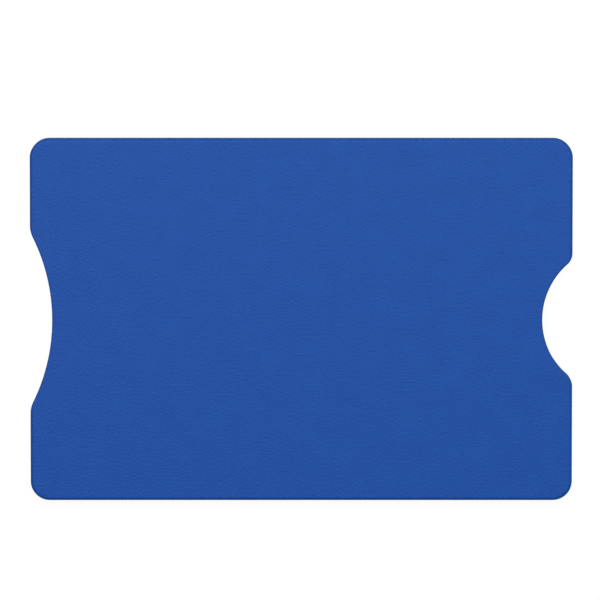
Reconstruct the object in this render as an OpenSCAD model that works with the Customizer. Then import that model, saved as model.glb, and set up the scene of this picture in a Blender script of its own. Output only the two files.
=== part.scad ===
// Hard sleeve for one bank card, with a foil shield against contactless reading.
// It lies flat: X along the card, Y across it, Z up. The origin is the middle of the rear face.
// The mouth and the thumb notch are at +X, and the wide push notch and the card stops at -X.

/* [Card] */
// Length of the card that the pocket holds
card_l = 85.6; // [80:0.1:95]
// Width of the card
card_w = 53.98; // [50:0.01:60]
// Thickness of the card
card_t = 0.76; // [0.5:0.01:1.5]
// Height that raised figures add to the card
emboss_h = 0.48; // [0:0.01:0.8]

/* [Pocket] */
// Room beside the card, on each side
side_gap = 0.36; // [0.1:0.01:1]
// Room past the end of the card, before the mouth overhang starts
end_gap = 0.4; // [0.1:0.01:1.5]
// Room above the card in the pocket
lift_gap = 0.16; // [0.05:0.01:0.6]
// Radius of the pocket corners at the stops
pocket_corner_r = 2; // [0.5:0.1:2.8]

/* [Shells] */
// Thickness of each large wall
wall_t = 1.3; // [0.9:0.05:2.5]
// Width of each side rail, where the shells are joined
rail_w = 2.75; // [2.4:0.05:5]
// Thickness of the stops behind the card
stop_w = 2; // [1.8:0.05:4]
// Length of the shells past the card at the mouth
mouth_overhang = 2; // [1:0.1:6]
// Radius of the four outer corners, seen from above
corner_r = 3.2; // [2.6:0.1:8]
// Radius of the outer edge on the sides and ends
edge_r = 0.55; // [0.2:0.05:0.65]
// Radius of the outer edge in the notches
notch_edge_r = 0.25; // [0.1:0.05:0.65]
// Chamfer beside the parting line, on each shell
parting_chamfer = 0.12; // [0.05:0.01:0.3]

/* [Thumb notch] */
// Radius of the thumb notch
thumb_r = 12.3; // [9:0.1:16]
// Depth of the thumb notch
thumb_depth = 5; // [3:0.05:7]
// Radius where the thumb notch runs out into the edge
thumb_mouth_r = 2.5; // [1:0.1:4]

/* [Push notch] */
// Radius of the push notch
push_r = 31; // [24:0.5:45]
// Depth of the push notch
push_depth = 3.65; // [2:0.05:5]
// Radius where the push notch runs out into the edge
push_mouth_r = 4.5; // [1:0.1:6]
// Distance from the end of the push notch to the tips of the stops
stop_tip_gap = 1.6; // [1:0.1:4]

/* [Mouth] */
// Length of the lead-in slope inside the mouth
lead_l = 0.9; // [0.3:0.1:1.5]
// Depth of the lead-in slope in each wall
lead_d = 0.35; // [0.1:0.05:0.5]
// Length of the flare in the rails at the mouth
flare_l = 3; // [1:0.1:6]
// Width of the flare in each rail
flare_w = 0.6; // [0.2:0.05:0.8]

/* [Joint] */
// Width of the tongue round the front shell
tongue_w = 0.7; // [0.4:0.05:0.8]
// Height of the tongue
tongue_h = 0.45; // [0.2:0.05:0.8]
// Distance from the outer edge to the middle of the tongue
tongue_inset = 1.15; // [1:0.05:1.2]
// Distance from the ends of the rails and stops to the ends of the tongue
tongue_end = 2; // [1:0.1:6]
// Room beside the tongue in its groove, on each side
tongue_gap = 0.05; // [0.02:0.01:0.1]
// Room under the tongue and the pins
joint_depth_gap = 0.1; // [0.05:0.01:0.2]
// Diameter of the locating pins
pin_d = 1.1; // [0.6:0.1:1.2]
// Height of the locating pins
pin_h = 0.8; // [0.4:0.05:0.9]
// Locating pins along each rail
pin_count = 4; // [2:1:6]
// Distance between the first and the last pin of a rail
pin_span = 66; // [40:1:68]
// Clear length of rail on each side of a pin, where the tongue stops
pin_clear = 0.9; // [0.5:0.1:2]
// Room round the pins in their sockets
pin_gap = 0.05; // [0.02:0.01:0.1]

/* [Shield] */
// Thickness of the adhesive film
film_t = 0.06; // [0.03:0.01:0.12]
// Thickness of the aluminium foil
foil_t = 0.05; // [0.02:0.01:0.1]
// Thickness of the slip liner that the card slides on
liner_t = 0.06; // [0.03:0.01:0.12]
// Width of the runner that is left beside each rail
runner_w = 1.2; // [0.6:0.1:4]
// Width of wall between the shield and the ends and notches of the shell
shield_rim = 1.9; // [1.6:0.1:4]
// Radius of the corners of the recess that the shield lies in
shield_corner_r = 2; // [0.8:0.1:4]
// Room round the shield in its recess
shield_gap = 0.2; // [0.05:0.05:0.5]

/* [Hidden] */
$fn = 96;
// What a cutter reaches past the face that it cuts
over = 1;
// Steps along the arcs of the outline, and round its edge
thumb_steps = 12;
push_steps = 10;
mouth_steps = 5;
corner_steps = 9;
edge_steps = 4;

pocket_w = card_w + 2 * side_gap;
pocket_h = card_t + emboss_h + lift_gap;
shell_l = stop_w + card_l + end_gap + mouth_overhang;
shell_w = pocket_w + 2 * rail_w;
sleeve_t = pocket_h + 2 * wall_t;
shell_t = sleeve_t / 2;
half_l = shell_l / 2;
half_w = shell_w / 2;
stop_x = stop_w - half_l;
recess_d = film_t + foil_t + liner_t;
// Flat width of the rim of a plate inside its rounded edge; half of it lies under the core
rim_flat = 0.3;
rim_w = max(edge_r, notch_edge_r) + rim_flat;

// Where the arcs of a notch meet, for a notch of radius r, depth d and mouth radius m at +X:
// the notch and mouth centres, and the angle of their line seen from the notch centre
function notch_x(r, d) = half_l - d + r;
function mouth_x(m) = half_l - m;
function mouth_y(r, d, m) = sqrt((r + m) ^ 2 - (notch_x(r, d) - mouth_x(m)) ^ 2);
function mouth_angle(r, d, m) = atan2(mouth_y(r, d, m), notch_x(r, d) - mouth_x(m));

window_half_w = mouth_y(push_r, push_depth, push_mouth_r) + stop_tip_gap;

function tail(list) = [for (i = [1 : len(list) - 1]) list[i]];
function reversed(list) = [for (i = [len(list) - 1 : -1 : 0]) list[i]];

// Points of the outline along one arc: each has its place, its inward direction and its edge radius.
// The inward direction points to the centre of an outward arc (-1) and away from that of a notch (1).
function outline_arc(centre, r, from, to, steps, inward, e_from, e_to) = [
  for (i = [0 : steps])
    let (t = i / steps, a = from + (to - from) * t, out = [cos(a), sin(a)])
    [centre + r * out, inward * out, e_from + (e_to - e_from) * t]
];

// A quarter of the outline at +X, from the deepest point of the notch round to the long side
function outline_quarter(r, d, m, steps) =
  let (a = mouth_angle(r, d, m), corner = [half_l - corner_r, half_w - corner_r])
  concat(
    outline_arc([notch_x(r, d), 0], r, 180, 180 - a, steps, 1, notch_edge_r, notch_edge_r),
    tail(outline_arc([mouth_x(m), mouth_y(r, d, m)], m, -a, 0, mouth_steps, -1, notch_edge_r, edge_r)),
    outline_arc(corner, corner_r, 0, 90, corner_steps, -1, edge_r, edge_r)
  );

// The same quarter on another side of the sleeve
function at_side(quarter, x, y) = [
  for (p = quarter) [[x * p[0].x, y * p[0].y], [x * p[1].x, y * p[1].y], p[2]]
];

thumb_quarter = outline_quarter(thumb_r, thumb_depth, thumb_mouth_r, thumb_steps);
push_quarter = outline_quarter(push_r, push_depth, push_mouth_r, push_steps);

// The whole outline, anticlockwise from the deepest point of the thumb notch
outline = concat(
  thumb_quarter,
  reversed(at_side(push_quarter, -1, 1)),
  tail(at_side(push_quarter, -1, -1)),
  reversed(tail(at_side(thumb_quarter, 1, -1)))
);

// Section through the rim of a plate with an edge radius e: how far in from the outline, and how high
function rim_section(e) = concat(
  [for (i = [0 : edge_steps]) let (a = 90 * i / edge_steps) [e * (1 - sin(a)), e * (1 - cos(a))]],
  [[0, shell_t - parting_chamfer], [parting_chamfer, shell_t], [rim_w, shell_t], [rim_w, 0]]
);

// Rim of a plate, which carries the section round the outline
module rim() {
  sections = [for (p = outline) [for (s = rim_section(p[2])) let (at = p[0] + s.x * p[1]) [at.x, at.y, s.y]]];
  n = len(outline);
  m = len(sections[0]);
  polyhedron(
    points = [for (s = sections) each s],
    faces = [
      for (i = [0 : n - 1], j = [0 : m - 1])
        let (next = (i + 1) % n, up = (j + 1) % m)
        each [
          [i * m + j, i * m + up, next * m + up],
          [i * m + j, next * m + up, next * m + j]
        ]
    ],
    convexity = 6
  );
}

// Solid plate with the outline of the sleeve, its outer face down and its outer edge rounded
module plate() {
  rim();
  linear_extrude(shell_t) polygon([for (p = outline) p[0] + (rim_w - rim_flat / 2) * p[1]]);
}

// Plan of the pocket, open at the mouth and between the tips of the stops
module pocket_plan() {
  half = pocket_w / 2;
  r = pocket_corner_r;
  upper = [
    [-half_l - over, window_half_w], [stop_x, window_half_w], [stop_x, half - r], [stop_x + r, half],
    [half_l - flare_l, half], [half_l, half + flare_w], [half_l + over, half + flare_w]
  ];
  lower = [for (i = [len(upper) - 1 : -1 : 0]) [upper[i].x, -upper[i].y]];
  polygon(concat(upper, lower));
  for (side = [-1, 1])
    translate([stop_x + r, side * (half - r)]) circle(r);
}

// Rectangle from one X to another, with rounded corners
module rounded_plan(x_from, x_to, half_width, r) {
  length = x_to - x_from;
  translate([x_from, r - half_width]) square([length, 2 * (half_width - r)]);
  translate([x_from + r, -half_width]) square([length - 2 * r, 2 * half_width]);
  for (x = [x_from + r, x_to - r], y = [r - half_width, half_width - r])
    translate([x, y]) circle(r);
}

// Plan of the shield, clear of the rails, stops and notches, drawn in by a gap
module shield_plan(gap) {
  difference() {
    rounded_plan(
      stop_x + runner_w + gap, half_l - shield_rim - gap, pocket_w / 2 - runner_w - gap, shield_corner_r - gap
    );
    translate([notch_x(thumb_r, thumb_depth), 0]) circle(thumb_r + shield_rim + gap);
    mirror([1, 0]) translate([notch_x(push_r, push_depth), 0]) circle(push_r + shield_rim + gap);
  }
}

// Plan of the tongue, or of its groove, which is wider and longer by a gap on every side
module tongue_plan(gap) {
  half = tongue_w / 2 + gap;
  outer = tongue_inset - half;
  inner = tongue_inset + half;
  rail_end = half_l - flare_l - tongue_end + gap;
  tip_end = window_half_w + tongue_end - gap;
  difference() {
    rounded_plan(outer - half_l, half_l - outer, half_w - outer, corner_r - outer);
    rounded_plan(inner - half_l, half_l - inner, half_w - inner, corner_r - inner);
    translate([rail_end, -half_w]) square([half_l, shell_w]);
    translate([-half_l, -tip_end]) square([half_l, 2 * tip_end]);
    at_pins() square(pin_d + 2 * (pin_clear - gap), center = true);
  }
}

// Puts its children at each locating pin
module at_pins() {
  for (i = [0 : pin_count - 1], side = [-1, 1])
    translate([(i / (pin_count - 1) - 1 / 2) * pin_span, side * (half_w - tongue_inset)]) children();
}

// Slope in the wall at the mouth, which leads the card in
module lead_in() {
  intersection() {
    translate([0, half_w, 0]) rotate([90, 0, 0]) linear_extrude(shell_w)
      polygon([
        [half_l - lead_l, wall_t], [half_l - lead_l, shell_t],
        [half_l + over, shell_t], [half_l + over, wall_t - lead_d * (1 + over / lead_l)]
      ]);
    linear_extrude(shell_t) pocket_plan();
  }
}

// One shell without its half of the joint, with its outer face down
module blank_shell() {
  difference() {
    plate();
    translate([0, 0, wall_t]) linear_extrude(shell_t) pocket_plan();
    translate([0, 0, wall_t - recess_d]) linear_extrude(shell_t) shield_plan(0);
    lead_in();
  }
}

// One layer of the shield, from its distance above the floor of the recess
module shield_layer(from, thickness) {
  translate([0, 0, wall_t - recess_d + from]) linear_extrude(thickness) shield_plan(shield_gap);
}

// Turns a piece that lies with its outer face down into its place at the front
module at_front() {
  translate([0, 0, sleeve_t]) mirror([0, 0, 1]) children();
}

// Shell with the tongue and the pins
module front_shell() {
  color("royalblue") at_front() {
    blank_shell();
    translate([0, 0, shell_t]) {
      linear_extrude(tongue_h) tongue_plan(0);
      linear_extrude(pin_h) at_pins() circle(d = pin_d);
    }
  }
}

// Shell with the groove and the sockets
module rear_shell() {
  groove_d = tongue_h + joint_depth_gap;
  socket_d = pin_h + joint_depth_gap;
  color("royalblue") difference() {
    blank_shell();
    translate([0, 0, shell_t - groove_d]) linear_extrude(shell_t) tongue_plan(tongue_gap);
    translate([0, 0, shell_t - socket_d]) linear_extrude(shell_t) at_pins() circle(d = pin_d + 2 * pin_gap);
  }
}

module front_adhesive_film() {
  color("khaki") at_front() shield_layer(0, film_t);
}

module rear_adhesive_film() {
  color("khaki") shield_layer(0, film_t);
}

module front_shield_foil() {
  color("silver") at_front() shield_layer(film_t, foil_t);
}

module rear_shield_foil() {
  color("silver") shield_layer(film_t, foil_t);
}

module front_slip_liner() {
  color("gainsboro") at_front() shield_layer(film_t + foil_t, liner_t);
}

module rear_slip_liner() {
  color("gainsboro") shield_layer(film_t + foil_t, liner_t);
}

front_shell();
rear_shell();
front_adhesive_film();
rear_adhesive_film();
front_shield_foil();
rear_shield_foil();
front_slip_liner();
rear_slip_liner();
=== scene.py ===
"""A hard sleeve for one bank card: two moulded shells round a foil shield, on a pale studio floor.

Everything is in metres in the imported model's frame: X runs along the card to the mouth, Y across it,
and Z up from the face that the sleeve lies on.
"""

import math

import bpy
import numpy as np
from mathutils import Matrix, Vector


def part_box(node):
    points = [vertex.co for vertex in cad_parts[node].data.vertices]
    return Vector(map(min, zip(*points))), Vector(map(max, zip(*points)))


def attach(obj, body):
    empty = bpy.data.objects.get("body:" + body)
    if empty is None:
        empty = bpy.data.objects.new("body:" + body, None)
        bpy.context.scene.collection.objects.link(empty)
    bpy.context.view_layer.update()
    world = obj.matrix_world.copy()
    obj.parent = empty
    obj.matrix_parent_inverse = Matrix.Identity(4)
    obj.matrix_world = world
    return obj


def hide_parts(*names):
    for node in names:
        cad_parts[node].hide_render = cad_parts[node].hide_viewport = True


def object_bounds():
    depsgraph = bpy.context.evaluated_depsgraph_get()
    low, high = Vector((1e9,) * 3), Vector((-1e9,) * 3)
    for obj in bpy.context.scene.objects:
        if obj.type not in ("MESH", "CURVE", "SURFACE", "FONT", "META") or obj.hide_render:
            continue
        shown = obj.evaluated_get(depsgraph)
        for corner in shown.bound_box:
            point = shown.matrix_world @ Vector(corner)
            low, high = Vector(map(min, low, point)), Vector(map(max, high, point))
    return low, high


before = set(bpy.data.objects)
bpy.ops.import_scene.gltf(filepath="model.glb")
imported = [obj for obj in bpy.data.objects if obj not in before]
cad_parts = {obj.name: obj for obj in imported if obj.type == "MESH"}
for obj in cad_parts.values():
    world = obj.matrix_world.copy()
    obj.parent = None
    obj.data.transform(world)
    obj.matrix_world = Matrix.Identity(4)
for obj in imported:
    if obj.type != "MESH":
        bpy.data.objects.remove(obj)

bl_info = {
    "name": "Card Sleeve",
    "version": (1, 0, 0),
    "blender": (4, 5, 0),
    "location": "3D View > Sidebar > Card Sleeve",
    "description": "Makes a moulded card sleeve with its foil shield, and a stage for it",
    "category": "Object",
}

MILLIMETRE = 0.001

# How many steps of points the stretches of a shell's outline have
THUMB_STEPS = 36
THUMB_MOUTH_STEPS = 12
END_STEPS = 14
TIP_STEPS = 6
CORNER_STEPS = 16
RAIL_STEP = 2 * MILLIMETRE
BACK_CORNER_STEPS = 20
STOP_STEPS = (6, 3, 3)
PUSH_MOUTH_STEPS = 8
PUSH_STEPS = 36
PIN_SIDES = 24

# How many rings of points run over the outer face, its edge, a lip and the floor of the recess
FACE_RINGS = 7
EDGE_RINGS = 9
LIP_RINGS = 5
RECESS_RINGS = 5

# A narrow flat ring beside the edge keeps the face flat up to it
FLAT_RING = 0.1 * MILLIMETRE
# The cylinders of pins and sockets reach this far past the joint face, so that they join or cut cleanly
PIN_ROOT = 0.1 * MILLIMETRE
# Points closer than this are one point, and edges that turn by more than this are sharp
MERGE = 1e-5 * MILLIMETRE
SHARP_ANGLE = math.radians(35)

KEY_PLACE = (-0.15, 0.22, 0.68)
KEY_SIZE = 0.4
FILL_PLACE = (0.26, 0.24, 0.5)
FILL_SIZE = 0.3
FLOOR_BELOW = 0.02 * MILLIMETRE
# Where the camera sees the floor, it reflects this share and glows with the rest, and further out more
FLOOR_SEEN = 0.05
GLOW_FROM = 0.1
GLOW_TO = 0.5
# Strength of the room's light, of the horizon in reflections, and of the sky above it
ROOM = 0.09
HORIZON = 0.3
SKY = 0.05
SKY_HEIGHT = 0.5
SENSOR_WIDTH = 36

# The whole sleeve, the joint between its shells, the inner face of a wall and the floor of its recess
cad_low, cad_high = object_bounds()
LENGTH, WIDTH, THICKNESS = cad_high - cad_low
JOINT_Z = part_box("rear_shell")[1].z
WALL_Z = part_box("rear_slip_liner")[1].z
RECESS_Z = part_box("rear_adhesive_film")[0].z
FILM_LOW, FILM_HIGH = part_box("rear_adhesive_film")


def length(name, description, default):
    """A size that a user can change, in metres."""
    return bpy.props.FloatProperty(
        name=name, description=description, default=default, min=0, precision=5, unit="LENGTH"
    )


def colour(name, description, default):
    """A colour that a user can change, in linear red, green and blue."""
    return bpy.props.FloatVectorProperty(
        name=name, description=description, default=default, min=0, max=1, size=3, subtype="COLOR"
    )


class ShellSizes(bpy.types.PropertyGroup):
    """Sizes of the two moulded shells."""

    corner_radius: length("Corner radius", "Radius of the outer corners, seen from above", 0.0032)
    edge_radius: length("Edge radius", "Radius of the outer edge on the sides and ends", 0.00055)
    notch_edge_radius: length("Notch edge radius", "Radius of the outer edge in the notches", 0.00025)
    lip_radius: length("Lip radius", "Radius of the inner edge where a wall ends in the open", 0.00015)
    parting_chamfer: length("Parting chamfer", "Chamfer beside the line between the shells", 0.00012)
    rail_width: length("Rail width", "Width of the rails beside the card", 0.00275)
    stop_width: length("Stop width", "Thickness of the stops behind the card", 0.002)
    tip_gap: length("Tip gap", "Distance from the end of the push notch to the tips of the stops", 0.0016)
    pocket_radius: length("Pocket radius", "Radius of the pocket corners at the stops", 0.002)
    flare_length: length("Flare length", "Length of the flare in the rails at the mouth", 0.003)
    flare_width: length("Flare width", "Width of the flare in each rail", 0.0006)
    lead_length: length("Lead-in length", "Length of the slope inside the mouth", 0.0009)
    lead_depth: length("Lead-in depth", "Depth of the slope inside the mouth", 0.00035)


class NotchSizes(bpy.types.PropertyGroup):
    """Sizes of the thumb notch at the mouth and the push notch at the other end."""

    thumb_radius: length("Thumb notch radius", "Radius of the notch at the mouth", 0.0123)
    thumb_depth: length("Thumb notch depth", "Depth of the notch at the mouth", 0.005)
    thumb_mouth: length("Thumb notch run-out", "Radius where the thumb notch meets the end", 0.0025)
    push_radius: length("Push notch radius", "Radius of the notch behind the card", 0.031)
    push_depth: length("Push notch depth", "Depth of the notch behind the card", 0.00365)
    push_mouth: length("Push notch run-out", "Radius where the push notch meets the end", 0.0045)


class JointSizes(bpy.types.PropertyGroup):
    """Sizes of the tongue, its groove, and the pins that place one shell on the other."""

    tongue_width: length("Tongue width", "Width of the tongue", 0.0007)
    tongue_height: length("Tongue height", "Height of the tongue", 0.00045)
    tongue_inset: length("Tongue inset", "From the outer edge to the middle of the tongue", 0.00115)
    tongue_end: length("Tongue end", "From the ends of the rails and stops to the tongue", 0.002)
    side_gap: length("Side gap", "Room beside the tongue and round the pins", 0.00005)
    depth_gap: length("Depth gap", "Room under the tongue and the pins", 0.0001)
    pin_diameter: length("Pin diameter", "Diameter of the locating pins", 0.0011)
    pin_height: length("Pin height", "Height of the locating pins", 0.0008)
    pin_clear: length("Pin clearance", "Clear length of rail on each side of a pin", 0.0009)
    pin_span: length("Pin span", "From the first pin of a rail to the last", 0.066)
    pin_count: bpy.props.IntProperty(
        name="Pins", description="Locating pins along each rail", default=4, min=2, max=6
    )


class RecessSizes(bpy.types.PropertyGroup):
    """Sizes of the recess that the shield lies in."""

    gap: length("Recess gap", "Room round the shield in its recess", 0.0002)
    rim: length("Recess rim", "Width of wall between the recess and the notches", 0.0019)
    corner_radius: length("Recess corner radius", "Radius of the corners of the recess", 0.002)


class Finish(bpy.types.PropertyGroup):
    """Colours and surface grain."""

    plastic: colour("Plastic", "Colour of the moulded shells", (0.0055, 0.060, 0.290))
    # Painted shade: a darker copy of the plastic that the mix puts in the hollows of the grain
    plastic_painted_shade: colour("Deep plastic", "Colour in the hollows of the grain", (0.0031, 0.0498, 0.2514))
    grain: length("Grain", "Width of one grain of the mould texture", 0.0004)
    mottle: length("Mottle", "Width of the soft patches in the mould texture", 0.004)
    foil: colour("Foil", "Colour of the rolled foil", (0.80, 0.81, 0.82))
    liner: colour("Liner", "Colour of the liner that the card slides on", (0.62, 0.62, 0.60))
    film: colour("Film", "Colour of the adhesive film", (0.57, 0.50, 0.27))


class Stage(bpy.types.PropertyGroup):
    """Floor, lights and camera."""

    floor_size: length("Floor size", "Side of the square floor", 6.0)
    floor: colour("Floor", "Colour of the floor", (0.5, 0.5, 0.5))
    lens: bpy.props.FloatProperty(
        name="Lens", description="Focal length of the camera", default=360, unit="CAMERA"
    )
    view_width: length("View width", "Width that the camera sees at the sleeve's front face", 0.09953)
    aim_x: bpy.props.FloatProperty(
        name="Aim X", description="Where the camera looks, along the sleeve", default=-0.00021,
        unit="LENGTH",
    )
    aim_y: bpy.props.FloatProperty(
        name="Aim Y", description="Where the camera looks, across the sleeve", default=0.00331,
        unit="LENGTH",
    )
    tilt: bpy.props.FloatProperty(
        name="Tilt", description="How far the camera leans to +Y", default=math.radians(4.2),
        subtype="ANGLE",
    )
    key: bpy.props.FloatProperty(
        name="Key light", description="Power of the key light", default=5.1, unit="POWER"
    )
    fill: bpy.props.FloatProperty(
        name="Fill light", description="Power of the fill light", default=1.9, unit="POWER"
    )


GROUPS = {
    "sleeve_shell": ShellSizes,
    "sleeve_notch": NotchSizes,
    "sleeve_joint": JointSizes,
    "sleeve_recess": RecessSizes,
    "sleeve_finish": Finish,
    "sleeve_stage": Stage,
}


def arc(centre, radius, start, end, steps):
    """Points of a circle and the directions outwards from its centre, between two angles in degrees."""
    angle = np.radians(np.linspace(start, end, steps + 1))
    out = np.stack([np.cos(angle), np.sin(angle)], axis=1)
    return np.asarray(centre) + radius * out, out


def line(start, end, steps):
    """Evenly spaced points from one point to another."""
    return np.linspace(start, end, steps + 1)


def turned(vector):
    """The same direction as a one-row array, to be spread over a stretch."""
    return np.asarray([vector], float)


def stretch(edge, inward, rounding, pocket, recess, walled, joint=0, tongue=0):
    """One stretch of the rings that run round a shell, with one value of each kind per point.

    edge is the outline and inward the direction from it into the shell. rounding is the edge radius.
    pocket is the foot of the pocket wall and recess the edge of the shield's recess. walled is 1 along
    rails and stops and 0 where the pocket is open. joint grows from 0 to 1 where a rail widens from
    nothing, and tongue is 1 where the tongue runs.
    """
    def spread(value):
        return np.broadcast_to(np.asarray(value, float), len(edge)).copy()

    return {
        "edge": edge,
        "inward": np.broadcast_to(inward, (len(edge), 2)).copy(),
        "rounding": spread(rounding),
        "pocket": pocket,
        "recess": recess,
        "walled": spread(walled),
        "joint": spread(joint),
        "tongue": spread(tongue),
    }


def notch(radius, depth, mouth):
    """Centre distance of a notch in an end, the centre of its run-out arc, and the angle where they meet."""
    centre_x = LENGTH / 2 - depth + radius
    mouth_x = LENGTH / 2 - mouth
    mouth_y = math.sqrt((radius + mouth) ** 2 - (centre_x - mouth_x) ** 2)
    return centre_x, mouth_x, mouth_y, math.degrees(math.atan2(mouth_y, centre_x - mouth_x))


def flare_end(shell):
    """Where the flared rail meets the corner arc: the line y = slope x + base cut with the circle."""
    corner_x, corner_y = LENGTH / 2 - shell.corner_radius, WIDTH / 2 - shell.corner_radius
    slope = shell.flare_width / shell.flare_length
    base = WIDTH / 2 - shell.rail_width - slope * (LENGTH / 2 - shell.flare_length)
    square = 1 + slope**2
    linear = 2 * slope * (base - corner_y) - 2 * corner_x
    constant = corner_x**2 + (base - corner_y) ** 2 - shell.corner_radius**2
    x = (-linear + math.sqrt(linear**2 - 4 * square * constant)) / (2 * square)
    y = slope * x + base
    return x, y, math.degrees(math.atan2(y - corner_y, x - corner_x))


def mouth_end(shell, sizes, recess):
    """Stretches at the mouth, from the middle of the thumb notch to where the rails begin."""
    centre_x, mouth_x, mouth_y, angle = notch(sizes.thumb_radius, sizes.thumb_depth, sizes.thumb_mouth)
    corner = (LENGTH / 2 - shell.corner_radius, WIDTH / 2 - shell.corner_radius)
    recess_x, recess_y = FILM_HIGH.x + recess.gap, FILM_HIGH.y + recess.gap
    recess_notch = sizes.thumb_radius + recess.rim
    recess_angle = math.degrees(math.acos((centre_x - recess_x) / recess_notch))
    recess_corner = (recess_x - recess.corner_radius, recess_y - recess.corner_radius)
    flare_angle = flare_end(shell)[2]

    edge, out = arc((centre_x, 0), sizes.thumb_radius, 180, 180 - angle, THUMB_STEPS)
    inner, _ = arc((centre_x, 0), recess_notch, 180, 180 - recess_angle, THUMB_STEPS + THUMB_MOUTH_STEPS)
    notch_part = stretch(edge, out, shell.notch_edge_radius, edge, inner[:THUMB_STEPS + 1], 0)

    edge, out = arc((mouth_x, mouth_y), sizes.thumb_mouth, -angle, 0, THUMB_MOUTH_STEPS)
    blend = np.linspace(shell.notch_edge_radius, shell.edge_radius, THUMB_MOUTH_STEPS + 1)
    run_out = stretch(edge, -out, blend, edge, inner[THUMB_STEPS:], 0)

    edge = line((LENGTH / 2, mouth_y), (LENGTH / 2, corner[1]), END_STEPS)
    inner = line((recess_x, inner[-1][1]), (recess_x, recess_corner[1]), END_STEPS)
    straight = stretch(edge, turned((-1, 0)), shell.edge_radius, edge, inner, 0)

    edge, out = arc(corner, shell.corner_radius, 0, flare_angle, TIP_STEPS)
    inner, _ = arc(recess_corner, recess.corner_radius, 0, flare_angle, TIP_STEPS)
    corner_part = stretch(edge, -out, shell.edge_radius, edge, inner, 0)
    return [notch_part, run_out, straight, corner_part]


def rail(shell, recess, joint):
    """Stretches along a rail, from its thin end in the mouth to the end of its straight side."""
    corner = (LENGTH / 2 - shell.corner_radius, WIDTH / 2 - shell.corner_radius)
    pocket_y = WIDTH / 2 - shell.rail_width
    pocket_from = LENGTH / 2 - shell.flare_length
    pocket_to = shell.pocket_radius + shell.stop_width - LENGTH / 2
    recess_y = FILM_HIGH.y + recess.gap
    recess_from = FILM_HIGH.x + recess.gap - recess.corner_radius
    recess_to = FILM_LOW.x - recess.gap + recess.corner_radius
    flare_x, flare_y, flare_angle = flare_end(shell)

    edge, out = arc(corner, shell.corner_radius, flare_angle, 90, CORNER_STEPS)
    recess_corner = (recess_from, recess_y - recess.corner_radius)
    inner, _ = arc(recess_corner, recess.corner_radius, flare_angle, 90, CORNER_STEPS)
    pocket = line((flare_x, flare_y), (pocket_from, pocket_y), CORNER_STEPS)
    growing = np.linspace(0, 1, CORNER_STEPS + 1)
    parts = [stretch(edge, -out, shell.edge_radius, pocket, inner, 1, growing)]

    half_clear = joint.pin_diameter / 2 + joint.pin_clear
    tongue_from = LENGTH / 2 - shell.flare_length - joint.tongue_end
    stops = [corner[0], tongue_from]
    for pin in np.linspace(joint.pin_span / 2, -joint.pin_span / 2, joint.pin_count):
        stops += [pin + half_clear, pin - half_clear]
    stops.append(-corner[0])
    for index, (start, end) in enumerate(zip(stops, stops[1:])):
        x = np.linspace(start, end, max(2, round((start - end) / RAIL_STEP)) + 1)
        share = (corner[0] - x) / (2 * corner[0])
        pocket_x = pocket_from + share * (pocket_to - pocket_from)
        recess_x = recess_from + share * (recess_to - recess_from)
        edge = np.column_stack([x, np.full_like(x, WIDTH / 2)])
        pocket = np.column_stack([pocket_x, np.full_like(x, pocket_y)])
        inner = np.column_stack([recess_x, np.full_like(x, recess_y)])
        parts.append(stretch(edge, turned((0, -1)), shell.edge_radius, pocket, inner, 1, 1, index % 2))
    return parts


def stop_end(shell, sizes, recess, joint):
    """Stretches at the stops, from the end of a rail to the middle of the push notch."""
    centre_x, mouth_x, mouth_y, angle = notch(sizes.push_radius, sizes.push_depth, sizes.push_mouth)
    corner = (shell.corner_radius - LENGTH / 2, WIDTH / 2 - shell.corner_radius)
    stop_x = shell.stop_width - LENGTH / 2
    pocket_corner = (stop_x + shell.pocket_radius, WIDTH / 2 - shell.rail_width - shell.pocket_radius)
    recess_x, recess_y = FILM_LOW.x - recess.gap, FILM_HIGH.y + recess.gap
    recess_corner = (recess_x + recess.corner_radius, recess_y - recess.corner_radius)
    recess_notch = sizes.push_radius + recess.rim
    recess_angle = math.degrees(math.acos((centre_x + recess_x) / recess_notch))
    recess_end = recess_notch * math.sin(math.radians(recess_angle))
    tip_y = mouth_y + shell.tip_gap
    tongue_y = tip_y + joint.tongue_end

    edge, out = arc(corner, shell.corner_radius, 90, 180, BACK_CORNER_STEPS)
    pocket, _ = arc(pocket_corner, shell.pocket_radius, 90, 180, BACK_CORNER_STEPS)
    inner, _ = arc(recess_corner, recess.corner_radius, 90, 180, BACK_CORNER_STEPS)
    parts = [stretch(edge, -out, shell.edge_radius, pocket, inner, 1, 1, 1)]

    levels = [corner[1], tongue_y, tip_y, mouth_y]
    share = (corner[1] - np.array(levels)) / (corner[1] - mouth_y)
    recess_levels = recess_corner[1] + share * (recess_end - recess_corner[1])
    pocket_levels = np.interp(levels, [tip_y, corner[1]], [tip_y, pocket_corner[1]])
    for index, steps in enumerate(STOP_STEPS):
        edge = line((-LENGTH / 2, levels[index]), (-LENGTH / 2, levels[index + 1]), steps)
        wall = line((stop_x, pocket_levels[index]), (stop_x, pocket_levels[index + 1]), steps)
        inner = line((recess_x, recess_levels[index]), (recess_x, recess_levels[index + 1]), steps)
        walled = index < 2
        pocket = wall if walled else edge
        parts.append(
            stretch(edge, turned((1, 0)), shell.edge_radius, pocket, inner, walled, walled, index == 0)
        )

    inner, _ = arc((-centre_x, 0), recess_notch, recess_angle, 0, PUSH_MOUTH_STEPS + PUSH_STEPS)
    edge, out = arc((-mouth_x, mouth_y), sizes.push_mouth, 180, 180 + angle, PUSH_MOUTH_STEPS)
    blend = np.linspace(shell.edge_radius, shell.notch_edge_radius, PUSH_MOUTH_STEPS + 1)
    parts.append(stretch(edge, -out, blend, edge, inner[:PUSH_MOUTH_STEPS + 1], 0))
    edge, out = arc((-centre_x, 0), sizes.push_radius, angle, 0, PUSH_STEPS)
    parts.append(stretch(edge, out, shell.notch_edge_radius, edge, inner[PUSH_MOUTH_STEPS:], 0))
    return parts


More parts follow.
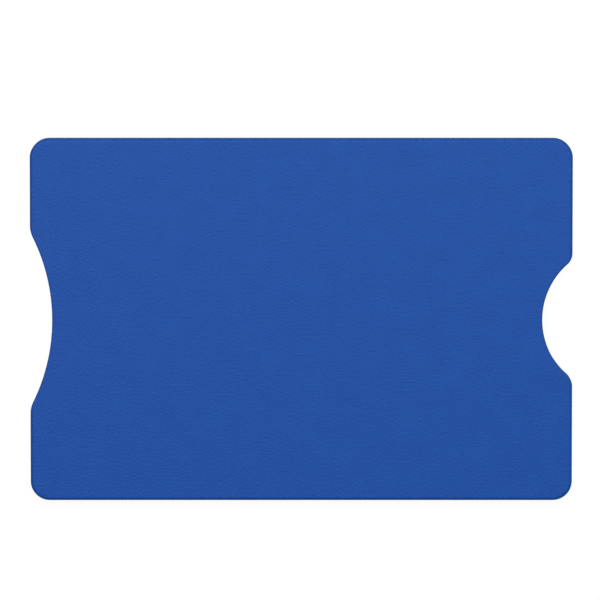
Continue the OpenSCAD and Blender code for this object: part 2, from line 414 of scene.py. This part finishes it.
def rings(shell, sizes, recess, joint):
    """The rings all round a shell: the stretches of the +Y half, and their mirror images on the -Y half."""
    half = mouth_end(shell, sizes, recess) + rail(shell, recess, joint)
    half += stop_end(shell, sizes, recess, joint)
    mirror = np.array([1.0, -1.0])
    joined = {}
    for key in half[0]:
        upper = np.concatenate([part[key] for part in half])
        lower = upper[::-1] * mirror if upper.ndim == 2 else upper[::-1]
        joined[key] = np.concatenate([upper, lower])
    return joined


def at_height(plan, height):
    """Points of a plan at one height, or each at its own."""
    return np.column_stack([plan, np.broadcast_to(height, len(plan))])


def spine(plan, half_length):
    """The nearest points on the middle line of the sleeve, between two ends."""
    return np.column_stack([np.clip(plan[:, 0], -half_length, half_length), np.zeros(len(plan))])


def wall_height(x, shell):
    """Height of the inner face of the wall, which slopes down to the mouth over the lead-in."""
    share = np.clip((x - LENGTH / 2 + shell.lead_length) / shell.lead_length, 0, 1)
    return WALL_Z - shell.lead_depth * share


def shell_rows(ring, shell, joint, tongue_side):
    """Rows of points over a whole shell, from the middle of its outer face to the middle of its recess.

    Each row follows the rings. The outer edge is a quarter circle, u = e (1 - sin a), z = e (1 - cos a),
    and the lip of an open wall is another. Where the pocket is open, the rows of the rail fall together
    on the lip. tongue_side is 1 for a tongue that stands on the joint face and -1 for its groove.
    """
    edge, inward, rounding = ring["edge"], ring["inward"], ring["rounding"]
    pocket, recess, walled = ring["pocket"], ring["recess"], ring["walled"] > 0
    middle = LENGTH / 3

    def inset(distance):
        return edge + inward * np.broadcast_to(distance, len(edge))[:, None]

    rows = []
    rim = inset(rounding + FLAT_RING)
    for share in np.linspace(0, 1, FACE_RINGS):
        rows.append(at_height(spine(rim, middle) * (1 - share) + rim * share, 0))
    for bend in np.radians(np.linspace(0, 90, EDGE_RINGS)):
        rows.append(at_height(inset(rounding * (1 - math.sin(bend))), rounding * (1 - math.cos(bend))))

    # The lip fades out towards the thin end of a rail, where the pocket wall leaves the outline
    lip_z = wall_height(edge[:, 0], shell)
    rail_start = np.array(flare_end(shell)[:2])
    to_rail = np.linalg.norm(np.abs(edge) - rail_start, axis=1)
    lip = np.minimum(shell.lip_radius, to_rail / 3)
    for share in np.linspace(0, 1, LIP_RINGS):
        bend = math.radians(90 * share)
        rounded = at_height(inset(lip * (1 - math.cos(bend))), lip_z - lip * (1 - math.sin(bend)))
        straight = at_height(edge, lip_z - lip * (1 - share))
        rows.append(np.where(walled[:, None], straight, rounded))
    lip_end = rows[-1]

    def rail_row(plan, height):
        rows.append(np.where(walled[:, None], at_height(plan, height), lip_end))

    chamfer = shell.parting_chamfer * np.minimum(1, 4 * ring["joint"])
    gap = joint.side_gap if tongue_side < 0 else 0
    step = joint.tongue_height + (joint.depth_gap if tongue_side < 0 else 0)
    near = (joint.tongue_inset - joint.tongue_width / 2 - gap) * ring["joint"]
    far = (joint.tongue_inset + joint.tongue_width / 2 + gap) * ring["joint"]
    step_z = JOINT_Z + tongue_side * step * ring["tongue"]
    rail_row(edge, JOINT_Z - chamfer)
    rail_row(inset(chamfer), JOINT_Z)
    rail_row(inset(near), JOINT_Z)
    rail_row(inset(near), step_z)
    rail_row(inset(far), step_z)
    rail_row(inset(far), JOINT_Z)
    rail_row(pocket, JOINT_Z)
    rail_row(pocket, wall_height(pocket[:, 0], shell))

    foot = rows[-1]
    lead_end = np.minimum(foot[:, 0], LENGTH / 2 - shell.lead_length)
    rows.append(at_height(np.column_stack([lead_end, foot[:, 1]]), WALL_Z))
    rows.append(at_height(recess, WALL_Z))
    for share in np.linspace(0, 1, RECESS_RINGS):
        rows.append(at_height(recess * (1 - share) + spine(recess, middle) * share, RECESS_Z))
    return np.stack(rows)


def closed_mesh(name, rows):
    """A closed mesh over a grid of points whose columns close on themselves.

    Points that fall together are merged. A face keeps the corners that are left, and goes where fewer
    than three are. The faces are turned to point outwards, by the sign of the volume that they enclose.
    """
    count, around = rows.shape[:2]
    index = np.arange(count * around).reshape(count, around)
    right = np.roll(index, -1, axis=1)
    quads = np.stack([index[:-1], right[:-1], right[1:], index[1:]], axis=-1).reshape(-1, 4)
    places = np.round(rows.reshape(-1, 3) / MERGE).astype(np.int64)
    _, first, same = np.unique(places, axis=0, return_index=True, return_inverse=True)
    points = rows.reshape(-1, 3)[first]
    quads = same.reshape(-1)[quads]
    kept = quads != np.roll(quads, -1, axis=1)
    fours = quads[kept.all(axis=1)]
    three_left = kept.sum(axis=1) == 3
    threes = quads[three_left][kept[three_left]].reshape(-1, 3)
    fours = fours[(fours[:, 0] != fours[:, 2]) & (fours[:, 1] != fours[:, 3])]
    threes = threes[threes[:, 0] != threes[:, 2]]
    fans = np.concatenate([threes, fours[:, :3], fours[:, [0, 2, 3]]])
    a, b, c = (points[fans[:, k]] for k in range(3))
    if np.einsum("ij,ij->i", a, np.cross(b, c)).sum() < 0:
        fours, threes = fours[:, ::-1], threes[:, ::-1]
    mesh = bpy.data.meshes.new(name)
    mesh.from_pydata(points.tolist(), [], fours.tolist() + threes.tolist())
    mesh.validate()
    return mesh


def pin_cylinders(joint, gap, depth):
    """Closed cylinders for the pins, or for the sockets round them, that reach down through the joint."""
    across = WIDTH / 2 - joint.tongue_inset
    along = np.linspace(-joint.pin_span / 2, joint.pin_span / 2, joint.pin_count)
    middles = np.stack(np.meshgrid(along, (-across, across)), axis=-1).reshape(-1, 1, 1, 2)
    circle, _ = arc((0, 0), joint.pin_diameter / 2 + gap, 0, 360, PIN_SIDES)
    plan = np.broadcast_to(middles + circle[:-1], (len(middles), 2, PIN_SIDES, 2))
    heights = np.array([JOINT_Z - depth, JOINT_Z + PIN_ROOT]).reshape(1, 2, 1, 1)
    points = np.concatenate([plan, np.broadcast_to(heights, (*plan.shape[:3], 1))], axis=-1)
    index = np.arange(len(middles) * 2 * PIN_SIDES).reshape(-1, 2, PIN_SIDES)
    right = np.roll(index, -1, axis=2)
    sides = np.stack([index[:, 0], right[:, 0], right[:, 1], index[:, 1]], axis=-1).reshape(-1, 4)
    ends = index[:, 0, ::-1].tolist() + index[:, 1].tolist()
    mesh = bpy.data.meshes.new("pins")
    mesh.from_pydata(points.reshape(-1, 3).tolist(), [], sides.tolist() + ends)
    return mesh


def with_pins(name, shell, joint, front):
    """The mesh of a shell with the pins joined to it, or with their sockets cut out of it."""
    gap = 0 if front else joint.side_gap
    depth = joint.pin_height + (0 if front else joint.depth_gap)
    body = bpy.data.objects.new(name, shell)
    tool = bpy.data.objects.new("pins", pin_cylinders(joint, gap, depth))
    for item in (body, tool):
        bpy.context.scene.collection.objects.link(item)
    change = body.modifiers.new("Pins", "BOOLEAN")
    change.operation = "UNION" if front else "DIFFERENCE"
    change.solver = "EXACT"
    change.object = tool
    finished = body.evaluated_get(bpy.context.evaluated_depsgraph_get())
    mesh = bpy.data.meshes.new_from_object(finished)
    for item in (body, tool):
        data = item.data
        bpy.data.objects.remove(item)
        bpy.data.meshes.remove(data)
    mesh.name = name
    return mesh


def new_piece(name, mesh, material, slot, *nodes):
    """Adds a piece that stands for CAD nodes, rides on the sleeve and takes the material it is given."""
    piece = bpy.data.objects.new(name, mesh)
    bpy.context.scene.collection.objects.link(piece)
    mesh.materials.append(material)
    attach(piece, "root")
    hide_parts(*nodes)
    return piece


def make_shell(context, name, node, front):
    """One shell: the rear one as worked out, or the front one with its heights turned over."""
    scene = context.scene
    joint = scene.sleeve_joint
    ring = rings(scene.sleeve_shell, scene.sleeve_notch, scene.sleeve_recess, joint)
    rows = shell_rows(ring, scene.sleeve_shell, joint, 1 if front else -1)
    if front:
        rows[..., 2] = THICKNESS - rows[..., 2]
    mesh = with_pins(name, closed_mesh(name, rows), joint, front)
    mesh.shade_smooth()
    mesh.set_sharp_from_angle(angle=SHARP_ANGLE)
    return new_piece(name, mesh, moulded_plastic(scene.sleeve_finish), "shell_plastic", node)


def node_at(tree, kind, x, y, **settings):
    """Adds a node at a place in a node tree and sets its own settings."""
    node = tree.nodes.new(kind)
    node.location = (x, y)
    for key, value in settings.items():
        setattr(node, key, value)
    return node


def grain_group():
    """Shader group: the height and shade of a fine moulded grain over soft patches, both round 0 to 1."""
    name = "Moulded Grain"
    if name in bpy.data.node_groups:
        return bpy.data.node_groups[name]
    tree = bpy.data.node_groups.new(name, "ShaderNodeTree")
    sockets = tree.interface
    sockets.new_socket("Position", in_out="INPUT", socket_type="NodeSocketVector")
    for label, default in (("Grain Size", 0.0002), ("Patch Size", 0.004)):
        sockets.new_socket(label, in_out="INPUT", socket_type="NodeSocketFloat").default_value = default
    for label in ("Height", "Shade", "Patches"):
        sockets.new_socket(label, in_out="OUTPUT", socket_type="NodeSocketFloat")
    inlet = node_at(tree, "NodeGroupInput", -900, 0)
    outlet = node_at(tree, "NodeGroupOutput", 500, 0)
    fine_scale = node_at(tree, "ShaderNodeMath", -700, 150, operation="DIVIDE")
    fine_scale.inputs[0].default_value = 1
    patch_scale = node_at(tree, "ShaderNodeMath", -700, -150, operation="DIVIDE")
    patch_scale.inputs[0].default_value = 1
    fine = node_at(tree, "ShaderNodeTexNoise", -450, 150)
    fine.inputs["Detail"].default_value = 4
    fine.inputs["Roughness"].default_value = 0.65
    patch = node_at(tree, "ShaderNodeTexNoise", -450, -150)
    patch.inputs["Detail"].default_value = 3
    patch.inputs["Roughness"].default_value = 0.5
    # Shade follows the grain's height: the colour mixed from it is painted shade, darker in the hollows and
    # lighter on the tops
    shade = node_at(tree, "ShaderNodeMapRange", -150, 150)
    shade.inputs["From Min"].default_value = 0.36
    shade.inputs["From Max"].default_value = 0.64
    patches = node_at(tree, "ShaderNodeMapRange", -150, -150)
    patches.inputs["From Min"].default_value = 0.3
    patches.inputs["From Max"].default_value = 0.7
    link = tree.links.new
    link(inlet.outputs["Grain Size"], fine_scale.inputs[1])
    link(inlet.outputs["Patch Size"], patch_scale.inputs[1])
    link(inlet.outputs["Position"], fine.inputs["Vector"])
    link(inlet.outputs["Position"], patch.inputs["Vector"])
    link(fine_scale.outputs[0], fine.inputs["Scale"])
    link(patch_scale.outputs[0], patch.inputs["Scale"])
    link(fine.outputs["Fac"], shade.inputs["Value"])
    link(patch.outputs["Fac"], patches.inputs["Value"])
    link(fine.outputs["Fac"], outlet.inputs["Height"])
    link(shade.outputs[0], outlet.inputs["Shade"])
    link(patches.outputs[0], outlet.inputs["Patches"])
    return tree


def grained_material(name, light, painted_shade, grain, patch, rough, depth, stretch_x=1, metallic=0, sheen=0.5):
    """A material whose colour, roughness and bump all follow the moulded grain.

    light is its colour on the tops of the grain, and the darker colour after it is painted shade for
    the hollows, mixed with soft patches of random tone. grain and patch are the widths of the grain and
    of its soft patches. rough is its lowest and highest roughness, depth the height of its bumps, and
    stretch_x draws the grain out along X.
    """
    if name in bpy.data.materials:
        return bpy.data.materials[name]
    material = bpy.data.materials.new(name)
    material.use_nodes = True
    tree = material.node_tree
    tree.nodes.clear()
    place = node_at(tree, "ShaderNodeTexCoord", -1100, 0)
    mapping = node_at(tree, "ShaderNodeMapping", -900, 0)
    mapping.inputs["Scale"].default_value = (1 / stretch_x, 1, 1)
    grain_node = node_at(tree, "ShaderNodeGroup", -650, 0, node_tree=grain_group())
    grain_node.inputs["Grain Size"].default_value = grain
    grain_node.inputs["Patch Size"].default_value = patch
    # Painted shade: the tint runs from the darker colour in the grain's hollows to the light one on its
    # tops, blended with random soft patches
    tint = node_at(tree, "ShaderNodeMix", -350, 200, data_type="RGBA")
    tint.inputs[6].default_value = (*painted_shade, 1)
    tint.inputs[7].default_value = (*light, 1)
    share = node_at(tree, "ShaderNodeMix", -500, 300, data_type="FLOAT")
    share.inputs[0].default_value = 0.36
    roughness = node_at(tree, "ShaderNodeMapRange", -350, -50)
    roughness.inputs["To Min"].default_value = rough[0]
    roughness.inputs["To Max"].default_value = rough[1]
    bump = node_at(tree, "ShaderNodeBump", -350, -350)
    bump.inputs["Distance"].default_value = depth
    shader = node_at(tree, "ShaderNodeBsdfPrincipled", 0, 0)
    shader.inputs["Metallic"].default_value = metallic
    shader.inputs["Specular IOR Level"].default_value = sheen
    out = node_at(tree, "ShaderNodeOutputMaterial", 350, 0)
    link = tree.links.new
    link(place.outputs["Object"], mapping.inputs["Vector"])
    link(mapping.outputs["Vector"], grain_node.inputs["Position"])
    link(grain_node.outputs["Shade"], share.inputs[2])
    link(grain_node.outputs["Patches"], share.inputs[3])
    link(share.outputs[0], tint.inputs[0])
    link(tint.outputs[2], shader.inputs["Base Color"])
    link(grain_node.outputs["Shade"], roughness.inputs["Value"])
    link(roughness.outputs[0], shader.inputs["Roughness"])
    link(grain_node.outputs["Height"], bump.inputs["Height"])
    link(bump.outputs["Normal"], shader.inputs["Normal"])
    link(shader.outputs["BSDF"], out.inputs["Surface"])
    return material


def moulded_plastic(finish):
    """Blue plastic with the fine matte texture of an eroded mould."""
    return grained_material(
        "Moulded Plastic", finish.plastic, finish.plastic_painted_shade, finish.grain, finish.mottle,
        rough=(0.44, 0.54), depth=0.09 * MILLIMETRE, sheen=0.13,
    )


def rolled_foil(finish):
    """Soft bright foil with faint lines along the way that it was rolled."""
    # Painted shade: a darker copy of the foil for the hollows of its rolled lines
    painted_shade = [0.9 * part for part in finish.foil]
    return grained_material(
        "Rolled Foil", finish.foil, painted_shade, grain=0.1 * MILLIMETRE, patch=8 * MILLIMETRE,
        rough=(0.22, 0.36), depth=0.002 * MILLIMETRE, stretch_x=30, metallic=1,
    )


def slip_film(finish):
    """Pale satin film that the card slides on."""
    # Painted shade: a darker copy of the liner for the hollows of its grain
    painted_shade = [0.93 * part for part in finish.liner]
    return grained_material(
        "Slip Liner", finish.liner, painted_shade, grain=0.3 * MILLIMETRE, patch=6 * MILLIMETRE,
        rough=(0.30, 0.42), depth=0.003 * MILLIMETRE, stretch_x=4,
    )


def adhesive_film(finish):
    """Yellowish film with the small ripples of pressed adhesive."""
    # Painted shade: a darker copy of the film for the hollows of its ripples
    painted_shade = [0.88 * part for part in finish.film]
    return grained_material(
        "Adhesive Film", finish.film, painted_shade, grain=0.5 * MILLIMETRE, patch=5 * MILLIMETRE,
        rough=(0.15, 0.30), depth=0.006 * MILLIMETRE,
    )


class SLEEVE_OT_rear_shell(bpy.types.Operator):
    """Make the rear shell, with the groove"""

    bl_idname = "sleeve.rear_shell"
    bl_label = "Rear Shell"

    def execute(self, context):
        make_shell(context, "rear_shell_moulding", "rear_shell", front=False)
        return {"FINISHED"}


class SLEEVE_OT_front_shell(bpy.types.Operator):
    """Make the front shell, with the tongue"""

    bl_idname = "sleeve.front_shell"
    bl_label = "Front Shell"

    def execute(self, context):
        make_shell(context, "front_shell_moulding", "front_shell", front=True)
        return {"FINISHED"}


class SLEEVE_OT_shield(bpy.types.Operator):
    """Give the adhesive film, the foil and the liner of both shields their finish"""

    bl_idname = "sleeve.shield"
    bl_label = "Shield Sheets"

    def execute(self, context):
        finish = context.scene.sleeve_finish
        sheets = {"adhesive_film": adhesive_film, "shield_foil": rolled_foil, "slip_liner": slip_film}
        for sheet, material in sheets.items():
            for side in ("front", "rear"):
                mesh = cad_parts[f"{side}_{sheet}"].data
                mesh.materials.clear()
                mesh.materials.append(material(finish))
        return {"FINISHED"}


def area_light(name, place, target, size, power):
    """A square soft white light at a place, facing a target."""
    data = bpy.data.lights.new(name, "AREA")
    data.shape = "SQUARE"
    data.size = size
    data.energy = power
    light = bpy.data.objects.new(name, data)
    light.location = place
    light.rotation_euler = (Vector(target) - Vector(place)).to_track_quat("-Z", "Y").to_euler()
    bpy.context.scene.collection.objects.link(light)


def floor_material(shade):
    """Pale matt floor that glows like a light table where the camera sees it, so shadows stay faint.

    Its glow grows to full white with the distance from the sleeve, so the floor runs into the backdrop.
    """
    material = bpy.data.materials.new("Studio Floor")
    material.use_nodes = True
    tree = material.node_tree
    shader = tree.nodes["Principled BSDF"]
    shader.inputs["Roughness"].default_value = 0.9
    shader.inputs["Specular IOR Level"].default_value = 0
    shader.inputs["Emission Color"].default_value = (1, 1, 1, 1)
    path = node_at(tree, "ShaderNodeLightPath", -600, 0)
    base = node_at(tree, "ShaderNodeMix", -300, 200, data_type="RGBA")
    base.inputs[6].default_value = (*shade, 1)
    base.inputs[7].default_value = (FLOOR_SEEN, FLOOR_SEEN, FLOOR_SEEN, 1)
    place = node_at(tree, "ShaderNodeTexCoord", -1000, -200)
    distance = node_at(tree, "ShaderNodeVectorMath", -800, -200, operation="LENGTH")
    glow = node_at(tree, "ShaderNodeMapRange", -600, -200)
    glow.inputs["From Min"].default_value = GLOW_FROM
    glow.inputs["From Max"].default_value = GLOW_TO
    glow.inputs["To Min"].default_value = 1 - FLOOR_SEEN
    seen = node_at(tree, "ShaderNodeMath", -300, -100, operation="MULTIPLY")
    link = tree.links.new
    link(path.outputs["Is Camera Ray"], base.inputs[0])
    link(base.outputs[2], shader.inputs["Base Color"])
    link(place.outputs["Object"], distance.inputs[0])
    link(distance.outputs["Value"], glow.inputs["Value"])
    link(glow.outputs[0], seen.inputs[0])
    link(path.outputs["Is Camera Ray"], seen.inputs[1])
    link(seen.outputs[0], shader.inputs["Emission Strength"])
    return material


def studio_world(scene):
    """A white backdrop for the camera, and a dim room for the sleeve, with a pale horizon to reflect."""
    world = bpy.data.worlds.new("Studio")
    world.use_nodes = True
    tree = world.node_tree
    tree.nodes.clear()
    path = node_at(tree, "ShaderNodeLightPath", -700, 300)
    place = node_at(tree, "ShaderNodeTexCoord", -1100, 0)
    split = node_at(tree, "ShaderNodeSeparateXYZ", -900, 0)
    horizon = node_at(tree, "ShaderNodeMapRange", -700, 0)
    horizon.inputs["From Max"].default_value = SKY_HEIGHT
    horizon.inputs["To Min"].default_value = HORIZON
    horizon.inputs["To Max"].default_value = SKY
    room = node_at(tree, "ShaderNodeMix", -450, 100, data_type="FLOAT")
    room.inputs[2].default_value = ROOM
    strength = node_at(tree, "ShaderNodeMix", -250, 200, data_type="FLOAT")
    strength.inputs[3].default_value = 1
    background = node_at(tree, "ShaderNodeBackground", 0, 0)
    background.inputs["Color"].default_value = (1, 1, 1, 1)
    out = node_at(tree, "ShaderNodeOutputWorld", 200, 0)
    link = tree.links.new
    link(place.outputs["Generated"], split.inputs[0])
    link(split.outputs["Z"], horizon.inputs["Value"])
    link(path.outputs["Is Glossy Ray"], room.inputs[0])
    link(horizon.outputs[0], room.inputs[3])
    link(path.outputs["Is Camera Ray"], strength.inputs[0])
    link(room.outputs[0], strength.inputs[2])
    link(strength.outputs[0], background.inputs["Strength"])
    link(background.outputs[0], out.inputs["Surface"])
    scene.world = world


def photo_camera(scene, stage):
    """A long lens over the sleeve, so far up that it sees the stated width at the front face."""
    data = bpy.data.cameras.new("Camera")
    data.lens = stage.lens
    data.sensor_width = SENSOR_WIDTH
    data.clip_start = 0.01
    data.clip_end = 20
    camera = bpy.data.objects.new("Camera", data)
    distance = stage.view_width * stage.lens / SENSOR_WIDTH
    target = Vector((stage.aim_x, stage.aim_y, THICKNESS))
    camera.location = target + distance * Vector((0, math.sin(stage.tilt), math.cos(stage.tilt)))
    camera.rotation_euler = (-stage.tilt, 0, 0)
    scene.collection.objects.link(camera)
    scene.camera = camera


class SLEEVE_OT_stage(bpy.types.Operator):
    """Make the floor, the lights and the camera"""

    bl_idname = "sleeve.stage"
    bl_label = "Stage"

    def execute(self, context):
        scene = context.scene
        stage = scene.sleeve_stage
        half = stage.floor_size / 2
        mesh = bpy.data.meshes.new("floor")
        corners = ((-half, -half), (half, -half), (half, half), (-half, half))
        mesh.from_pydata([(*corner, -FLOOR_BELOW) for corner in corners], [], [(0, 1, 2, 3)])
        mesh.materials.append(floor_material(stage.floor))
        floor = bpy.data.objects.new("floor", mesh)
        scene.collection.objects.link(floor)
        centre = (0, 0, THICKNESS)
        area_light("Key", KEY_PLACE, centre, KEY_SIZE, stage.key)
        area_light("Fill", FILL_PLACE, centre, FILL_SIZE, stage.fill)
        studio_world(scene)
        photo_camera(scene, stage)
        scene.view_settings.view_transform = "Standard"
        return {"FINISHED"}


class SLEEVE_PT_panel(bpy.types.Panel):
    """Sizes and finishes of the sleeve, and the steps that make it"""

    bl_idname = "SLEEVE_PT_panel"
    bl_label = "Card Sleeve"
    bl_space_type = "VIEW_3D"
    bl_region_type = "UI"
    bl_category = "Card Sleeve"

    def draw(self, context):
        for operator in OPERATORS:
            self.layout.operator(operator.bl_idname)
        for name in GROUPS:
            settings = getattr(context.scene, name)
            box = self.layout.box()
            for key in settings.__annotations__:
                box.prop(settings, key)


OPERATORS = (SLEEVE_OT_stage, SLEEVE_OT_rear_shell, SLEEVE_OT_front_shell, SLEEVE_OT_shield)
CLASSES = (*GROUPS.values(), *OPERATORS, SLEEVE_PT_panel)


def register():
    """Registers the classes and hangs the settings on the scene."""
    for cls in CLASSES:
        bpy.utils.register_class(cls)
    for name, group in GROUPS.items():
        setattr(bpy.types.Scene, name, bpy.props.PointerProperty(type=group))


def unregister():
    """Takes the settings and the classes away again."""
    for name in GROUPS:
        delattr(bpy.types.Scene, name)
    for cls in reversed(CLASSES):
        bpy.utils.unregister_class(cls)


def main():
    """Makes the stage and every piece."""
    register()
    bpy.ops.sleeve.stage()
    bpy.ops.sleeve.rear_shell()
    bpy.ops.sleeve.front_shell()
    bpy.ops.sleeve.shield()


if __name__ == "__main__":
    main()
